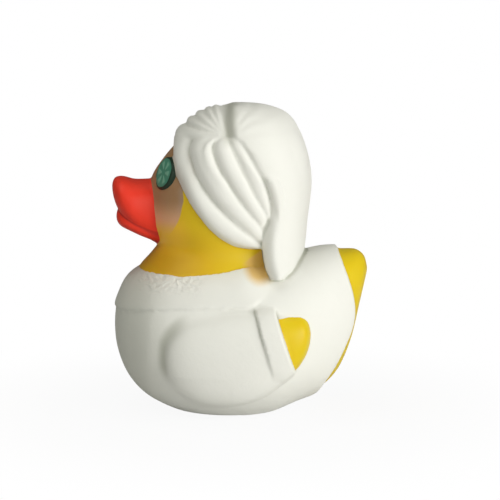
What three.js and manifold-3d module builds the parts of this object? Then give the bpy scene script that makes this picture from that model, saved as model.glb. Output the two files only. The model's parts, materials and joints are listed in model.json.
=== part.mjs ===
// A moulded vinyl bath duck dressed for the spa: bathrobe, towel turban and cucumber slices on the eyes.
// The real one is a single hollow casting, painted afterwards, so the model is one closed solid.
// Millimetres, +Z up. The duck faces -Y, its left side is +X, and the origin is under its middle.

import * as THREE from 'three';
import { LoftGeometry } from 'three/addons/geometries/LoftGeometry.js';
import { mergeVertices, toCreasedNormals } from 'three/addons/utils/BufferGeometryUtils.js';
import Module from 'manifold-3d';

const wasm = await Module();
wasm.setup();

// Body and casting
const bodyLength = 76.7;
const bodyWidth = 64;
const tailHeight = 49.6;
const bodyCentre = 0.86;
const wallThickness = 2.5;
const ventRadius = 1.5;

// Head and beak
const headWidth = 38.6;
const headLength = 44.8;
const headHeight = 53;
const headLevel = 38;
const headCentre = -4;
const beakRoot = -24.5;
const beakReach = 14.6;
const beakWidth = 21.6;
const mouthLevel = 54.6;
const upperBeakDepth = 17.1;
const lowerBeakLevel = 51.6;
const lowerBeakDepth = 9.6;

// Bathrobe
const robeThickness = 1.2;
const collarThickness = 2.6;
const sleeveMiddle = 0.422 * bodyWidth;
const sleeveHalfWidth = 9.2;
const sleeveLength = 41.3;
const sleeveHeight = 29.2;
const sleeveFront = -24.8;
const sleeveBottom = 5.8;
const cuffThickness = 0.9;
const wingTipHalfWidth = 6.4;

// Towel turban
const towelThickness = 1.6;
const turbanWidth = headWidth + 2 * towelThickness;
const turbanLength = 42.4;
const turbanLevel = 72;
const turbanRise = 21.6;
const turbanDrop = 33;
const flankCrest = 2;
const browCrest = 1.5;
const leafCrest = 1;
const foldRoot = 1.5;
const rootSpread = 0.08;
const hoodDrop = 90;
const hoodTuck = 2.4;
const hoodRoll = 4.5;
const hoodFlare = 8;

// Cucumber slices
const sliceRadius = 5.1;
const sliceThickness = 5;
const sliceRimRadius = 0.6;
const sliceSpread = 11;
const sliceLevel = 74.1;
const sliceFront = -23.6;

// Squareness of the oval sections: 2 is an ellipse, and more is boxier
const bodySquareness = 2.2;
const headSquareness = 2.1;
const turbanSquareness = 2.35;

// Facets
const bodyRings = 23;
const bodySides = 30;
const headRings = 18;
const headSides = 24;
const hollowRings = 11;
const hollowSides = 14;
const sleeveRings = 11;
const sleeveSides = 18;
const ballSides = 30;
const ballRings = 18;
const foldRings = 10;
const foldSteps = 5;
const browRings = 14;
const hoodRings = 20;
const crownCrowding = 1.15;
const hoodSteps = 10;
const smallRings = 8;
const smallSides = 14;

// Paint of each field of the finished duck
const vinylYellow = new THREE.Color('#f2cf2a');
const robeWhite = new THREE.Color('#f3f3ee');
const beakRed = new THREE.Color('#f2452f');
const cucumberGreen = new THREE.Color('#3f8a68');

// Longer than the duck in every direction, for the shapes that trim it
const beyond = 300;

// Closed mesh to solid: a fresh number for each one lets its paint survive the joins
const paintOf = new Map();

function solid(geometry, paint) {
  const bare = new THREE.BufferGeometry().copy(geometry);
  bare.deleteAttribute('normal');
  bare.deleteAttribute('uv');
  const merged = mergeVertices(bare, 1e-4);
  const corners = merged.index.array;
  const triangles = [];
  for (let i = 0; i < corners.length; i += 3) {
    const [a, b, c] = corners.slice(i, i + 3);
    if (a !== b && b !== c && c !== a) triangles.push(a, b, c);
  }
  const closed = (triVerts) => new wasm.Manifold(new wasm.Mesh({
    numProp: 3,
    vertProperties: new Float32Array(merged.attributes.position.array),
    triVerts: new Uint32Array(triVerts),
  }));
  let made = closed(triangles);
  if (made.volume() < 0) made = closed(triangles.reverse());
  made = made.asOriginal();
  paintOf.set(made.originalID(), paint);
  return made;
}

const joined = (parts) => parts.reduce((whole, part) => whole.add(part));
const bothSides = (part) => part.add(part.mirror([1, 0, 0]));
const superPower = (value, squareness) => Math.sign(value) * Math.abs(value) ** (2 / squareness);

// Smooth run of values through the stations of a loft
function steady(points) {
  const curve = new THREE.CatmullRomCurve3(points, false, 'centripetal');
  return (t) => curve.getPoint(t);
}

// Loft whose two ends are drawn in to a point, so that it closes
function closedLoft(sections) {
  const drawnIn = (ring) => {
    const middle = ring.reduce((sum, point) => sum.add(point), new THREE.Vector3()).divideScalar(ring.length);
    return ring.map(() => middle);
  };
  return new LoftGeometry([drawnIn(sections[0]), ...sections, drawnIn(sections[sections.length - 1])]);
}

// Oval loft: each station joins two points of the side view, with a half width and a middle across
function ovalLoft(stations, { rings, sides, squareness = 2, grow = null }) {
  const first = steady(stations.map((s) => new THREE.Vector3(0, ...s.first)));
  const second = steady(stations.map((s) => new THREE.Vector3(0, ...s.second)));
  const across = steady(stations.map((s, i) => new THREE.Vector3(s.half, s.middle ?? 0, i)));
  const sections = [];
  for (let ring = 0; ring <= rings; ring += 1) {
    const t = ring / rings;
    const [one, two, width] = [first(t), second(t), across(t)];
    const centre = one.clone().add(two).multiplyScalar(0.5);
    const reach = two.clone().sub(one).multiplyScalar(0.5);
    const points = [];
    for (let side = 0; side < sides; side += 1) {
      const angle = (side / sides) * 2 * Math.PI;
      const point = centre.clone().addScaledVector(reach, superPower(Math.sin(angle), squareness));
      point.x = width.y + width.x * superPower(Math.cos(angle), squareness);
      points.push(point);
    }
    sections.push(points);
  }
  const loft = closedLoft(sections);
  return grow ? thickened(loft, grow) : loft;
}

// Volume inside a closed mesh, negative where its faces point inwards
function signedVolume(geometry) {
  const { position } = geometry.attributes;
  const corner = (i) => new THREE.Vector3().fromBufferAttribute(position, geometry.index.getX(i));
  let sum = 0;
  for (let i = 0; i < geometry.index.count; i += 3) {
    sum += corner(i).dot(corner(i + 1).cross(corner(i + 2))) / 6;
  }
  return sum;
}

// Parallel skin: every corner moved along its own normal, by a growth that depends on its place
function thickened(geometry, growthAt) {
  const bare = new THREE.BufferGeometry().copy(geometry);
  bare.deleteAttribute('normal');
  bare.deleteAttribute('uv');
  const skin = mergeVertices(bare, 1e-4);
  skin.computeVertexNormals();
  const outwards = Math.sign(signedVolume(skin));
  const { position, normal } = skin.attributes;
  for (let i = 0; i < position.count; i += 1) {
    const distance = outwards * growthAt(position.getY(i), position.getZ(i));
    position.setXYZ(
      i,
      position.getX(i) + distance * normal.getX(i),
      position.getY(i) + distance * normal.getY(i),
      position.getZ(i) + distance * normal.getZ(i),
    );
  }
  return skin;
}

// Trimming block: an outline drawn in the side view and extruded right across the duck
function trim(draw) {
  const outline = new THREE.Shape();
  draw(outline);
  const block = new THREE.ExtrudeGeometry(outline, { depth: beyond, bevelEnabled: false, curveSegments: 5 });
  block.translate(0, 0, -beyond / 2);
  const acrossDuck = new THREE.Matrix4().makeBasis(
    new THREE.Vector3(0, 1, 0),
    new THREE.Vector3(0, 0, 1),
    new THREE.Vector3(1, 0, 0),
  );
  block.applyMatrix4(acrossDuck);
  return solid(block, robeWhite);
}

// Body skin: chest to tail tip, with the back line and the keel line as [along, up], and the half width
const bodyPoint = (along, up) => [bodyCentre + (along * bodyLength) / 2, up * tailHeight];
const bodyStations = [
  [[-1, 0.52], [-1, 0.52], 0],
  [[-0.975, 0.67], [-0.97, 0.38], 0.3],
  [[-0.88, 0.79], [-0.885, 0.23], 0.59],
  [[-0.67, 0.865], [-0.74, 0.115], 0.83],
  [[-0.38, 0.91], [-0.44, 0.01], 0.96],
  [[-0.07, 0.93], [-0.12, -0.03], 1],
  [[0.22, 0.94], [0.19, 0.008], 0.98],
  [[0.45, 0.955], [0.41, 0.075], 0.89],
  [[0.64, 0.987], [0.61, 0.135], 0.73],
  [[0.8, 0.993], [0.75, 0.235], 0.55],
  [[0.91, 0.99], [0.86, 0.42], 0.38],
  [[0.97, 0.955], [0.93, 0.65], 0.25],
  [[0.99, 0.91], [0.98, 0.81], 0.12],
  [[1, 0.87], [1, 0.87], 0],
].map(([back, keel, half]) => ({
  first: bodyPoint(...keel),
  second: bodyPoint(...back),
  half: (half * bodyWidth) / 2,
}));
const bodySkin = (grow, rings = bodyRings, sides = bodySides) => ovalLoft(bodyStations, {
  rings, sides, squareness: bodySquareness, grow,
});

// Head and neck skin: level rings from inside the shoulders to the crown, as [front, back], level, half width
const headPoint = (along, up) => [headCentre + (along * headLength) / 2, headLevel + up * headHeight];
const headStations = [
  [-1.29, 1.03, 0, 1.24],
  [-1.21, 0.89, 0.11, 1.11],
  [-1.03, 0.83, 0.2, 0.98],
  [-0.94, 0.85, 0.26, 0.95],
  [-1.03, 0.96, 0.38, 0.99],
  [-1.06, 1.03, 0.52, 1],
  [-1.02, 1.04, 0.64, 0.99],
  [-0.87, 1, 0.74, 0.94],
  [-0.69, 0.91, 0.83, 0.84],
  [-0.4, 0.66, 0.95, 0.56],
  [0.09, 0.09, 1, 0],
].map(([front, back, up, half]) => ({
  first: headPoint(front, up),
  second: headPoint(back, up),
  half: (half * headWidth) / 2,
}));
const headSkin = (grow, rings = headRings, sides = headSides) => ovalLoft(headStations, {
  rings, sides, squareness: headSquareness, grow,
});

// Beak: the upper half flares to a flat upturned lip, and the lower half tucks under it
function beak() {
  const shell = (rows, level, depth) => ovalLoft(rows.map(([top, bottom, half]) => ({
    first: [beakRoot - bottom[0] * beakReach, level + bottom[1] * depth],
    second: [beakRoot - top[0] * beakReach, level + top[1] * depth],
    half: (half * beakWidth) / 2,
  })), { rings: smallRings + 2, sides: smallSides + 4, squareness: 2.4 });
  const upper = shell([
    [[-0.5, 1], [-0.5, -0.2], 0.68],
    [[-0.05, 0.97], [0.06, -0.2], 0.75],
    [[0.24, 0.955], [0.34, -0.03], 0.88],
    [[0.55, 0.95], [0.59, 0.15], 1],
    [[0.8, 1], [0.77, 0.31], 0.94],
    [[0.94, 0.98], [0.88, 0.45], 0.72],
    [[0.985, 0.91], [0.955, 0.62], 0.42],
    [[1, 0.79], [1, 0.79], 0],
  ], mouthLevel, upperBeakDepth);
  const lower = shell([
    [[-0.5, 0.6], [-0.5, 0], 0.56],
    [[0.05, 0.6], [0.05, 0.02], 0.62],
    [[0.35, 0.75], [0.35, 0.18], 0.7],
    [[0.62, 0.95], [0.62, 0.37], 0.72],
    [[0.8, 1.05], [0.82, 0.53], 0.6],
    [[0.88, 1.05], [0.895, 0.68], 0.4],
    [[0.92, 0.87], [0.92, 0.87], 0],
  ], lowerBeakLevel, lowerBeakDepth);
  return solid(upper, beakRed).add(solid(lower, beakRed));
}

// Bathrobe: a parallel skin over the body, cut back in a curve that leaves the tail and the rear bare
function robe() {
  const cover = trim((line) => {
    line.moveTo(-beyond, robeThickness);
    line.lineTo(...bodyPoint(0.4, 0.02));
    line.splineThru([
      bodyPoint(0.59, 0.11),
      bodyPoint(0.67, 0.205),
      bodyPoint(0.75, 0.3),
      bodyPoint(0.825, 0.42),
      bodyPoint(0.88, 0.54),
      bodyPoint(0.893, 0.64),
      bodyPoint(0.865, 0.76),
      bodyPoint(0.8, 0.91),
      bodyPoint(0.745, 1.02),
    ].map((point) => new THREE.Vector2(...point)));
    line.lineTo(...bodyPoint(0.7, 1.3));
    line.lineTo(-beyond, 1.3 * tailHeight);
  });
  return solid(bodySkin(() => robeThickness), robeWhite).intersect(cover);
}

// Shawl collar: a thicker skin over the shoulders, fullest against the neck, that fades into the robe behind
const collarGrowth = (y, z) => {
  const towardsNeck = THREE.MathUtils.smoothstep(z / tailHeight, 0.7, 0.86);
  const backwards = THREE.MathUtils.smoothstep((y - bodyCentre) / bodyLength, 0, 0.13);
  return THREE.MathUtils.lerp(collarThickness * (0.75 + 0.5 * towardsNeck), 0.9 * robeThickness, backwards);
};
function collar() {
  const cover = trim((line) => {
    line.moveTo(-beyond, 0.65 * tailHeight);
    line.lineTo(...bodyPoint(-1.1, 0.65));
    line.splineThru([
      bodyPoint(-0.6, 0.705),
      bodyPoint(-0.1, 0.725),
      bodyPoint(0.08, 0.735),
      bodyPoint(0.18, 0.8),
      bodyPoint(0.28, 0.9),
      bodyPoint(0.38, 1.02),
    ].map((point) => new THREE.Vector2(...point)));
    line.lineTo(...bodyPoint(0.42, 1.3));
    line.lineTo(-beyond, 1.3 * tailHeight);
  });
  return solid(bodySkin(collarGrowth), robeWhite).intersect(cover);
}

// Sleeve: a wing-shaped lobe on each flank, with a raised cuff and the bare wing tip coming out of it
const sleevePoint = (along, up) => [sleeveFront + along * sleeveLength, sleeveBottom + up * sleeveHeight];
function sleeve() {
  const lobe = (rows, thicker, rings) => ovalLoft(rows.map(([top, bottom, half, middle = 1]) => ({
    first: sleevePoint(...bottom),
    second: sleevePoint(...top),
    half: half * sleeveHalfWidth + (half === 0 ? 0 : thicker),
    middle: middle * sleeveMiddle,
  })), { rings, sides: sleeveSides, squareness: 2.2 });
  const arm = lobe([
    [[0, 0.45], [0, 0.45], 0],
    [[0.04, 0.71], [0.06, 0.2], 0.55],
    [[0.19, 0.88], [0.22, 0.04], 0.83],
    [[0.41, 0.965], [0.48, 0], 0.98],
    [[0.62, 1], [0.75, 0.085], 1],
    [[0.84, 1], [0.99, 0.33], 0.92],
  ], 0, sleeveRings);
  const cuff = lobe([
    [[0.71, 1.03], [0.87, 0.22], 0.97],
    [[0.77, 1.04], [0.94, 0.27], 0.95],
    [[0.845, 1.03], [1, 0.355], 0.92],
  ], cuffThickness, 4);
  return solid(arm, robeWhite).add(solid(cuff, robeWhite));
}

function wingTip() {
  const rows = [
    [[0.77, 0.95], [0.9, 0.34], 1],
    [[0.94, 0.955], [1, 0.385], 0.97],
    [[1.05, 0.92], [1.05, 0.475], 0.78],
    [[1.09, 0.86], [1.085, 0.58], 0.5],
    [[1.11, 0.73], [1.11, 0.73], 0],
  ];
  return solid(ovalLoft(rows.map(([top, bottom, half]) => ({
    first: sleevePoint(...bottom),
    second: sleevePoint(...top),
    half: half * wingTipHalfWidth,
    middle: sleeveMiddle,
  })), { rings: smallRings, sides: smallSides, squareness: 2.1 }), vinylYellow);
}

// Side view of the turban, in shares of its half length and of its rise or its drop
const turbanPoint = (along, up) => [
  (along * turbanLength) / 2,
  turbanLevel + up * (up > 0 ? turbanRise : turbanDrop),
];

// How far the towel lies from the middle plane at a point of the side view, and 0 outside its outline
function towelAcross(y, z, lift = 0, drop = turbanDrop) {
  const height = z - turbanLevel;
  const upright = (height > 0 ? turbanRise : drop) + lift;
  const rest = 1 - Math.abs(y / (turbanLength / 2 + lift)) ** turbanSquareness
    - Math.abs(height / upright) ** turbanSquareness;
  return (turbanWidth / 2 + lift) * Math.max(rest, 0) ** (1 / turbanSquareness);
}

// Direction from the turban's middle, scaled to end on its surface, in shares of its half sizes
function outTo(direction) {
  const size = (value) => Math.abs(value) ** turbanSquareness;
  const reach = (size(direction.x) + size(direction.y) + size(direction.z)) ** (1 / turbanSquareness);
  return direction.clone().divideScalar(reach);
}

// Direction to the point of the left flank that has this place in the side view
const flank = (along, up) => (
  new THREE.Vector3(towelAcross(...turbanPoint(along, up)) / (turbanWidth / 2), along, up)
);

// Turban surface: an upright oval ball, squarer than an ellipsoid, that drops further than it rises
function onTurban(direction, lift = 0) {
  const d = outTo(direction);
  return new THREE.Vector3(
    (turbanWidth / 2 + lift) * d.x,
    (turbanLength / 2 + lift) * d.y,
    turbanLevel + ((d.z > 0 ? turbanRise : turbanDrop) + lift) * d.z,
  );
}

// Towel core: the turban's ball, cut along the forehead, past the temple and under to the nape
const turbanEdge = [
  [-0.93, 0.53],
  [-0.9, 0.24],
  [-0.81, -0.09],
  [-0.68, -0.21],
  [-0.53, -0.335],
  [-0.37, -0.455],
  [-0.13, -0.565],
  [0.13, -0.61],
  [0.42, -0.62],
];
function towelCore() {
  const ball = new THREE.SphereGeometry(1, ballSides, ballRings);
  ball.rotateX(Math.PI / 2);
  const { position } = ball.attributes;
  const direction = new THREE.Vector3();
  for (let i = 0; i < position.count; i += 1) {
    const point = onTurban(direction.fromBufferAttribute(position, i));
    position.setXYZ(i, point.x, point.y, point.z);
  }
  const cover = trim((line) => {
    line.moveTo(-beyond, turbanPoint(...turbanEdge[0])[1]);
    line.lineTo(...turbanPoint(...turbanEdge[0]));
    line.splineThru(turbanEdge.slice(1).map((point) => new THREE.Vector2(...turbanPoint(...point))));
    line.lineTo(beyond, turbanPoint(...turbanEdge[turbanEdge.length - 1])[1]);
    line.lineTo(beyond, beyond);
    line.lineTo(-beyond, beyond);
  });
  return solid(ball, robeWhite).intersect(cover);
}

// Creases of the wound towel, drawn in the side view: all start at the gather on the temple
const gather = [-0.19, 0.6];
const creases = {
  hairline: [gather, [-0.5, 0.61], [-0.88, 0.56], [-0.92, 0.24], [-0.83, -0.09], [-0.69, -0.21], [-0.54, -0.335],
    [-0.38, -0.455], [-0.14, -0.565], [0.12, -0.61], [0.34, -0.62]],
  temple: [gather, [-0.4, 0.6], [-0.62, 0.57], [-0.7, 0.42], [-0.66, 0.26], [-0.55, 0.01], [-0.38, -0.16],
    [-0.16, -0.31], [0.04, -0.43], [0.34, -0.6]],
  pinch: [gather, [-0.37, 0.56], [-0.5, 0.48], [-0.56, 0.36], [-0.54, 0.2], [-0.46, 0], [-0.34, -0.15]],
  cheek: [gather, [-0.31, 0.55], [-0.37, 0.47], [-0.35, 0.35], [-0.26, 0.14], [-0.12, -0.05], [0.04, -0.2],
    [0.34, -0.45]],
  ear: [gather, [-0.14, 0.52], [-0.05, 0.33], [0.08, 0.07], [0.21, -0.12], [0.4, -0.32]],
  hood: [gather, [0, 0.55], [0.1, 0.43], [0.24, 0.18], [0.37, -0.04], [0.43, -0.2], [0.43, -0.4]],
  leafFront: [[0.33, 0.05], [0.36, 0], [0.41, -0.09], [0.45, -0.2], [0.475, -0.3], [0.48, -0.38]],
  leafRear: [[0.33, 0.05], [0.45, 0.06], [0.54, -0.04], [0.57, -0.16], [0.53, -0.3], [0.48, -0.38]],
};

// Crease down a flank, as a function that gives directions from the turban's middle
function flankCrease(name) {
  const run = steady(creases[name].map((point) => new THREE.Vector3(0, ...point)));
  return (t) => flank(run(t).y, run(t).z);
}

// Crease from one gather over the forehead to the other, which looks straight from the side
const browCrease = (middle) => (t) => {
  const share = Math.sin(Math.PI * t);
  const top = outTo(new THREE.Vector3(0, ...middle));
  const direction = flank(
    THREE.MathUtils.lerp(gather[0], top.y, share),
    THREE.MathUtils.lerp(gather[1], top.z, share),
  );
  return t > 0.5 ? direction.multiply(new THREE.Vector3(-1, 1, 1)) : direction;
};

// Lobe of cloth: the towel swells between two creases, with a wider root and both ends under the surface
function lobe(first, second, crest, { rings = foldRings, base = 0 } = {}) {
  const sections = [];
  for (let ring = 0; ring <= rings; ring += 1) {
    const t = ring / rings;
    const atEnd = ring === 0 || ring === rings;
    const swell = crest * Math.max(Math.sin(Math.PI * t), 0) ** 0.35;
    const across = (share) => new THREE.Vector3().lerpVectors(first(t), second(t), share);
    const section = [];
    for (let step = 0; step <= foldSteps; step += 1) {
      const share = step / foldSteps;
      const lift = atEnd ? -foldRoot / 2 : swell * (1 - Math.abs(2 * share - 1) ** 2.2);
      section.push(onTurban(across(share), base + lift));
    }
    for (const share of [1 + rootSpread, 0.5, -rootSpread]) {
      section.push(onTurban(across(share), base - foldRoot));
    }
    sections.push(section);
  }
  return solid(closedLoft(sections), robeWhite);
}

// Lobes combed back along each flank, from under the forehead to the nape, and a leaf-shaped one behind
function flankLobes() {
  const between = [
    ['hairline', 'temple', 1],
    ['temple', 'pinch', 0.6],
    ['pinch', 'cheek', 0.85],
    ['temple', 'cheek', 0.8],
    ['cheek', 'ear', 0.75],
    ['ear', 'hood', 0.55],
  ];
  const lobes = between.map(([first, second, share]) => (
    lobe(flankCrease(first), flankCrease(second), share * flankCrest)
  ));
  const leaf = lobe(flankCrease('leafFront'), flankCrease('leafRear'), leafCrest, { base: towelThickness });
  return joined([...lobes, leaf]);
}

// Lobes gathered at each temple and fanned over the forehead, from the brow to the crown
function browLobes() {
  const middles = [[-0.93, 0.5], [-0.79, 0.76], [-0.66, 0.85], [-0.53, 0.94], [-0.41, 0.99], [-0.31, 1.02]];
  const shares = [1, 0.74, 0.68, 0.58, 0.52];
  return joined(shares.map((share, i) => (
    lobe(browCrease(middles[i]), browCrease(middles[i + 1]), share * browCrest, { rings: browRings })
  )));
}

// Hanging end of the towel: sections that fan out from the crown and fall behind the cheeks to the collar
function hood() {
  const stations = [
    [[-0.26, 1.01], [-0.26, 1.01]],
    [[-0.26, 0.92], [0.08, 1.03]],
    [[-0.26, 0.76], [0.43, 0.99]],
    [[-0.21, 0.58], [0.7, 0.87]],
    [[-0.06, 0.47], [0.87, 0.62]],
    [[0.1, 0.22], [1, 0.23]],
    [[0.25, 0], [1.035, -0.04]],
    [[0.33, -0.17], [1.02, -0.2]],
    [[0.35, -0.34], [0.98, -0.39]],
    [[0.32, -0.52], [0.95, -0.595]],
    [[0.33, -0.67], [0.92, -0.72]],
    [[0.37, -0.79], [0.85, -0.8]],
    [[0.44, -0.87], [0.66, -0.87]],
  ];
  const front = steady(stations.map(([first]) => new THREE.Vector3(0, ...turbanPoint(...first))));
  const rear = steady(stations.map(([, second]) => new THREE.Vector3(0, ...turbanPoint(...second))));
  const sections = [];
  for (let ring = 0; ring <= hoodRings; ring += 1) {
    const t = (ring / hoodRings) ** crownCrowding;
    const flare = hoodFlare * Math.max(0, 3 * t - 2) ** 1.5;
    const left = [];
    for (let step = 0; step <= hoodSteps; step += 1) {
      const share = (1 - Math.cos((Math.PI * step) / hoodSteps)) / 2;
      const point = front(t).lerp(rear(t), share);
      const rolled = Math.min(1, (front(t).distanceTo(rear(t)) * share) / hoodRoll);
      const lift = (towelThickness + hoodTuck) * Math.sin((Math.PI / 2) * rolled) - hoodTuck;
      point.x = (towelAcross(point.y, point.z, lift, hoodDrop) + flare) * Math.sqrt(1 - share ** 5);
      left.push(point);
    }
    const right = left.map((point) => point.clone().multiply(new THREE.Vector3(-1, 1, 1))).reverse();
    sections.push([...left, ...right]);
  }
  return solid(closedLoft(sections), robeWhite);
}

// Cucumber slice: a round slab with a softened rim, laid on the slope of the face
function slice() {
  const half = sliceThickness / 2;
  const profile = new THREE.Path();
  profile.moveTo(0, -half);
  profile.lineTo(sliceRadius, -half);
  profile.lineTo(sliceRadius, half - sliceRimRadius);
  profile.absarc(sliceRadius - sliceRimRadius, half - sliceRimRadius, sliceRimRadius, 0, Math.PI / 2);
  profile.lineTo(0, half);
  const slab = new THREE.LatheGeometry(profile.getPoints(2), headSides);
  const facing = new THREE.Vector3(0.45, -0.84, 0.3).normalize();
  slab.applyQuaternion(new THREE.Quaternion().setFromUnitVectors(new THREE.Vector3(0, 1, 0), facing));
  slab.translate(sliceSpread, sliceFront, sliceLevel);
  slab.translate(-facing.x * half, -facing.y * half, -facing.z * half);
  return solid(slab, cucumberGreen);
}

// Hollow of the casting: the body and head skins drawn in by the wall, above a floor of the same wall
function hollow() {
  const aboveFloor = trim((line) => {
    line.moveTo(-beyond, wallThickness);
    line.lineTo(beyond, wallThickness);
    line.lineTo(beyond, beyond);
    line.lineTo(-beyond, beyond);
  });
  const inside = [bodySkin, headSkin].map((skin) => (
    solid(skin(() => -wallThickness, hollowRings, hollowSides), vinylYellow)
  ));
  return joined(inside).intersect(aboveFloor);
}

// Vent through the floor, which lets the casting breathe and squeak
function vent() {
  const drill = new THREE.CylinderGeometry(ventRadius, ventRadius, 4 * wallThickness, smallSides);
  drill.rotateX(Math.PI / 2);
  drill.translate(0, bodyPoint(-0.1, 0)[0], 0);
  return solid(drill, vinylYellow);
}

// The whole casting, cut level underneath so that it stands
const aboveGround = trim((line) => {
  line.moveTo(-beyond, 0);
  line.lineTo(beyond, 0);
  line.lineTo(beyond, beyond);
  line.lineTo(-beyond, beyond);
});
const skin = joined([
  solid(bodySkin(), vinylYellow),
  solid(headSkin(), vinylYellow),
  beak(),
  robe(),
  collar(),
  bothSides(sleeve()),
  bothSides(wingTip()),
  towelCore(),
  bothSides(flankLobes()),
  browLobes(),
  hood(),
  bothSides(slice()),
]).intersect(aboveGround);

// Pockets trapped between two folds come apart as bodies of negative volume, and the vinyl fills them
const filled = joined(skin.decompose().filter((part) => part.volume() > 0));
const casting = filled.subtract(hollow()).subtract(vent());

// Triangles of the joined solid, each painted as the shape that it came from
function painted(whole) {
  const mesh = whole.getMesh();
  const positions = [];
  const colors = [];
  const corner = (v) => mesh.vertProperties.subarray(v * mesh.numProp, v * mesh.numProp + 3);
  for (let run = 0; run < mesh.runOriginalID.length; run += 1) {
    const paint = paintOf.get(mesh.runOriginalID[run]);
    for (let i = mesh.runIndex[run]; i < mesh.runIndex[run + 1]; i += 1) {
      positions.push(...corner(mesh.triVerts[i]));
      colors.push(paint.r, paint.g, paint.b);
    }
  }
  const geometry = new THREE.BufferGeometry();
  geometry.setAttribute('position', new THREE.Float32BufferAttribute(positions, 3));
  geometry.setAttribute('color', new THREE.Float32BufferAttribute(colors, 3));
  return toCreasedNormals(geometry, Math.PI / 5);
}

const duck = new THREE.Mesh(
  painted(casting),
  new THREE.MeshStandardMaterial({ vertexColors: true, roughness: 0.55, metalness: 0 }),
);
duck.name = 'duck';

const group = new THREE.Group();
group.add(duck);

export default group;
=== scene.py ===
# %% [markdown]
# # A bath duck dressed for the spa
# The real duck is one hollow vinyl casting. Robe, towel, beak and cucumber slices are relief of that
# casting and differ only in paint. So this script models the forms one by one, fuses them into a single
# skin, and then paints the skin in fields whose borders follow the forms.
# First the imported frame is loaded. Everything below is in metres, in the frame's own place.

# %% Load the frame
import json
import math

import bmesh
import bpy
import numpy as np
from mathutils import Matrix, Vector
from mathutils.bvhtree import BVHTree

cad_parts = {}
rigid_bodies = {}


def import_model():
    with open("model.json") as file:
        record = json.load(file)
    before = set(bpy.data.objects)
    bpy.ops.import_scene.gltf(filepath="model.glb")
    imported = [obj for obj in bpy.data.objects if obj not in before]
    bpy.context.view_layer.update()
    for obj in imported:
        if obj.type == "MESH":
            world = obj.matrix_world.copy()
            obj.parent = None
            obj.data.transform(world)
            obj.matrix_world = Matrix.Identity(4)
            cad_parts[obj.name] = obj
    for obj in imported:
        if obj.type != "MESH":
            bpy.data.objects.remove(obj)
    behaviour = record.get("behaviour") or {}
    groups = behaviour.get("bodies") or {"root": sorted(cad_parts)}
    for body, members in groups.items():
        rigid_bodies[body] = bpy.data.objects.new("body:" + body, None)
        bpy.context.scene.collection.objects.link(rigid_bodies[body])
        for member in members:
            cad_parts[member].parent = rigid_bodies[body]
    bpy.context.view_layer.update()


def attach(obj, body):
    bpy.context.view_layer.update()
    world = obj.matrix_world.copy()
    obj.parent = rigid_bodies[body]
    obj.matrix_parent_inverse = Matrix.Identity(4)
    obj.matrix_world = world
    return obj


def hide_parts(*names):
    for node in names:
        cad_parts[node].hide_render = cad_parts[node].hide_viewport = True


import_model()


MM = 0.001

# %% [markdown]
# ## Sizes
# A casting like this is sculpted in proportions: the body, the head, the beak, the sleeve and the turban
# each have their own length, width and height. The outlines further down could be drawn in millimetres, but
# they are drawn in shares of these sizes, so a size can change and its form follows.

# %% Driving sizes
BODY = {"middle": 0.86 * MM, "length": 76.7 * MM, "width": 64 * MM, "height": 49.6 * MM}
HEAD = {"middle": -4 * MM, "length": 44.8 * MM, "width": 38.6 * MM, "low": 38 * MM, "height": 53 * MM}
BEAK = {"root": -24.5 * MM, "reach": 14.6 * MM, "width": 21.6 * MM}
UPPER_BEAK = {"low": 54.6 * MM, "depth": 17.1 * MM}
LOWER_BEAK = {"low": 51.6 * MM, "depth": 9.6 * MM}
SLEEVE = {"front": -24.8 * MM, "length": 41.3 * MM, "low": 5.8 * MM, "height": 29.2 * MM,
          "middle": 27 * MM, "half_width": 9.2 * MM}
TURBAN = {"width": 41.8 * MM, "length": 42.4 * MM, "level": 72 * MM, "rise": 21.6 * MM, "drop": 33 * MM}
SLICE = {"radius": 5.1 * MM, "thickness": 5 * MM,
         "across": 10.7 * MM, "along": -22.9 * MM, "level": 73.9 * MM}
ROBE_THICKNESS = 1.2 * MM
COLLAR_THICKNESS = 2.6 * MM
CUFF_THICKNESS = 0.9 * MM
WING_TIP_HALF_WIDTH = 6.4 * MM
HOOD_THICKNESS = 1.6 * MM
HOOD_DROP = 90 * MM
for name, size in (("body", BODY), ("head", HEAD)):
    print(name, "in mm:", {way: round(size[way] / MM, 1) for way in ("length", "width", "height")})

# %% [markdown]
# ## Lofts
# Most of the duck is a loft: an oval ring that changes its size and place from station to station. One could
# sculpt a ball instead, but a loft keeps to outlines that were measured. In Blender a ring comes from
# create_circle and the loft from extruding its edge again and again. Each new ring is then laid on the next
# oval. A smooth curve through the few stations gives the rings in between.


# %% Smooth run through stations
def smooth_run(points):
    """Smooth curve through points, as a function of 0 to 1, that doesn't overshoot where they lie close."""
    points = [np.array(point, float) for point in points]
    before = [2 * points[0] - points[1]]
    after = [2 * points[-1] - points[-2]]
    padded = before + points + after

    def at(t):
        span = min(int(t * (len(points) - 1)), len(points) - 2)
        weight = t * (len(points) - 1) - span
        p0, p1, p2, p3 = padded[span:span + 4]
        gaps = [np.linalg.norm(b - a) ** 0.5 for a, b in ((p0, p1), (p1, p2), (p2, p3))]
        middle = gaps[1] if gaps[1] > 1e-4 else 1.0
        first = gaps[0] if gaps[0] > 1e-4 else middle
        last = gaps[2] if gaps[2] > 1e-4 else middle
        leave = middle * ((p1 - p0) / first - (p2 - p0) / (first + middle) + (p2 - p1) / middle)
        arrive = middle * ((p2 - p1) / middle - (p3 - p1) / (middle + last) + (p3 - p2) / last)
        w2, w3 = weight ** 2, weight ** 3
        return ((2 * w3 - 3 * w2 + 1) * p1 + (w3 - 2 * w2 + weight) * leave
                + (3 * w2 - 2 * w3) * p2 + (w3 - w2) * arrive)

    return at


def power(value, squareness):
    """Signed power that turns a circle's sine or cosine into a squarer oval's."""
    return math.copysign(abs(value) ** (2 / squareness), value)


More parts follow.
